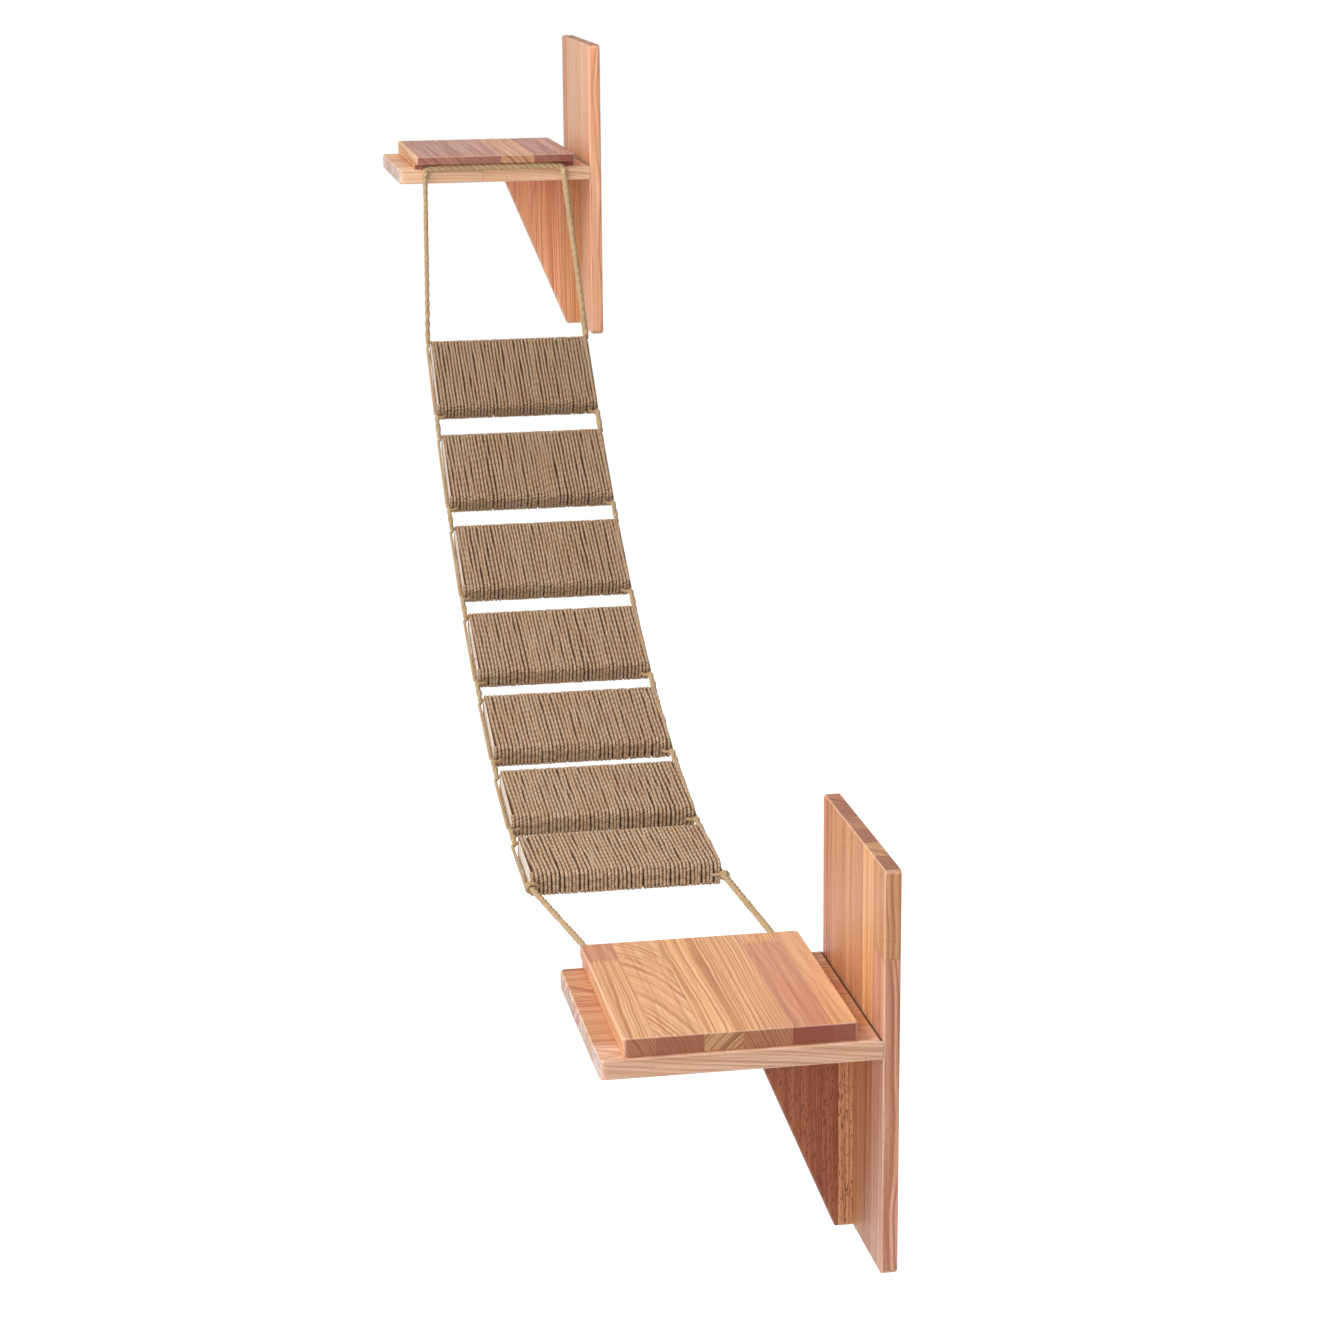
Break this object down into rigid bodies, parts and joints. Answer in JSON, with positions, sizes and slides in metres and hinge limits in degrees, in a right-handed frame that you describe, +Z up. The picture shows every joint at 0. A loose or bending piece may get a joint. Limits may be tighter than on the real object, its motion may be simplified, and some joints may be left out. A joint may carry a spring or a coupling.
{
  "type": "cat wall stairs",
  "caption": "Bracketed wooden wall shelves joined by a hanging rope ladder of twine-wound slats, which a cat climbs from the low shelf to the high one.",
  "frame": {"origin": "on the wall plane, midway between the lower shelf's two keyhole hanger entries", "axes": "+X along the wall from the upper shelf to the lower shelf, +Y into the wall, +Z up"},
  "size_m": [1.799, 0.26, 0.964],
  "materials": {
    "board_wood": "satin",
    "tread_wood": "satin",
    "slat_wood": "satin",
    "twine": "fibrous",
    "rope": "fibrous",
    "hanger_steel": "zinc plated",
    "screw_steel": "zinc plated"
  },
  "bodies": {
    "shelves": {"lower_back_board": "board_wood", "lower_shelf_board": "board_wood", "lower_bracket": "board_wood", "lower_tread": "tread_wood", "lower_hangers": "hanger_steel", "lower_shelf_screws": "screw_steel", "lower_bracket_back_screws": "screw_steel", "lower_bracket_top_screws": "screw_steel", "lower_tread_screws": "screw_steel", "lower_hanger_screws": "screw_steel", "upper_back_board": "board_wood", "upper_shelf_board": "board_wood", "upper_bracket": "board_wood", "upper_tread": "tread_wood", "upper_hangers": "hanger_steel", "upper_shelf_screws": "screw_steel", "upper_bracket_back_screws": "screw_steel", "upper_bracket_top_screws": "screw_steel", "upper_tread_screws": "screw_steel", "upper_hanger_screws": "screw_steel", "upper_crossbar": "rope", "lower_crossbar": "rope"},
    "left_rope": {"left_outer_strand": "rope", "left_inner_strand": "rope", "left_knot": "rope"},
    "right_rope": {"right_outer_strand": "rope", "right_inner_strand": "rope", "right_knot": "rope"},
    "slat_1": {"slat_1_board": "slat_wood", "slat_1_winding": "twine"},
    "slat_2": {"slat_2_board": "slat_wood", "slat_2_winding": "twine"},
    "slat_3": {"slat_3_board": "slat_wood", "slat_3_winding": "twine"},
    "slat_4": {"slat_4_board": "slat_wood", "slat_4_winding": "twine"},
    "slat_5": {"slat_5_board": "slat_wood", "slat_5_winding": "twine"},
    "slat_6": {"slat_6_board": "slat_wood", "slat_6_winding": "twine"},
    "slat_7": {"slat_7_board": "slat_wood", "slat_7_winding": "twine"}
  },
  "joints": [
    {"name": "ladder_sway", "type": "hinge", "parent": "shelves", "child": "left_rope", "pos_m": [-1.44353, -0.231, 0.4726], "axis": [0.9139, 0, -0.406], "range_deg": [-12, 9.5], "deforming": ["left_outer_strand", "left_inner_strand", "left_knot"]},
    {"name": "right_rope_sway", "type": "hinge", "parent": "shelves", "child": "right_rope", "pos_m": [-1.44353, -0.059, 0.4726], "axis": [0.9139, 0, -0.406], "range_deg": [-12, 9.5], "deforming": ["right_outer_strand", "right_inner_strand", "right_knot"]},
    {"name": "slat_1_level", "type": "hinge", "parent": "left_rope", "child": "slat_1", "pos_m": [-1.2631, -0.231, 0.24266], "axis": [0.9139, 0, -0.406], "range_deg": [-9.5, 12]},
    {"name": "slat_2_level", "type": "hinge", "parent": "left_rope", "child": "slat_2", "pos_m": [-1.15207, -0.231, 0.14721], "axis": [0.9139, 0, -0.406], "range_deg": [-9.5, 12]},
    {"name": "slat_3_level", "type": "hinge", "parent": "left_rope", "child": "slat_3", "pos_m": [-1.03322, -0.231, 0.06175], "axis": [0.9139, 0, -0.406], "range_deg": [-9.5, 12]},
    {"name": "slat_4_level", "type": "hinge", "parent": "left_rope", "child": "slat_4", "pos_m": [-0.90653, -0.231, -0.01155], "axis": [0.9139, 0, -0.406], "range_deg": [-9.5, 12]},
    {"name": "slat_5_level", "type": "hinge", "parent": "left_rope", "child": "slat_5", "pos_m": [-0.77251, -0.231, -0.07029], "axis": [0.9139, 0, -0.406], "range_deg": [-9.5, 12]},
    {"name": "slat_6_level", "type": "hinge", "parent": "left_rope", "child": "slat_6", "pos_m": [-0.63231, -0.231, -0.11207], "axis": [0.9139, 0, -0.406], "range_deg": [-9.5, 12]},
    {"name": "slat_7_level", "type": "hinge", "parent": "left_rope", "child": "slat_7", "pos_m": [-0.48784, -0.231, -0.13488], "axis": [0.9139, 0, -0.406], "range_deg": [-9.5, 12]}
  ],
  "couplings": [
    {"joint": "right_rope_sway", "follows": "ladder_sway", "ratio": 1},
    {"joint": "slat_1_level", "follows": "ladder_sway", "ratio": -1},
    {"joint": "slat_2_level", "follows": "ladder_sway", "ratio": -1},
    {"joint": "slat_3_level", "follows": "ladder_sway", "ratio": -1},
    {"joint": "slat_4_level", "follows": "ladder_sway", "ratio": -1},
    {"joint": "slat_5_level", "follows": "ladder_sway", "ratio": -1},
    {"joint": "slat_6_level", "follows": "ladder_sway", "ratio": -1},
    {"joint": "slat_7_level", "follows": "ladder_sway", "ratio": -1}
  ]
}
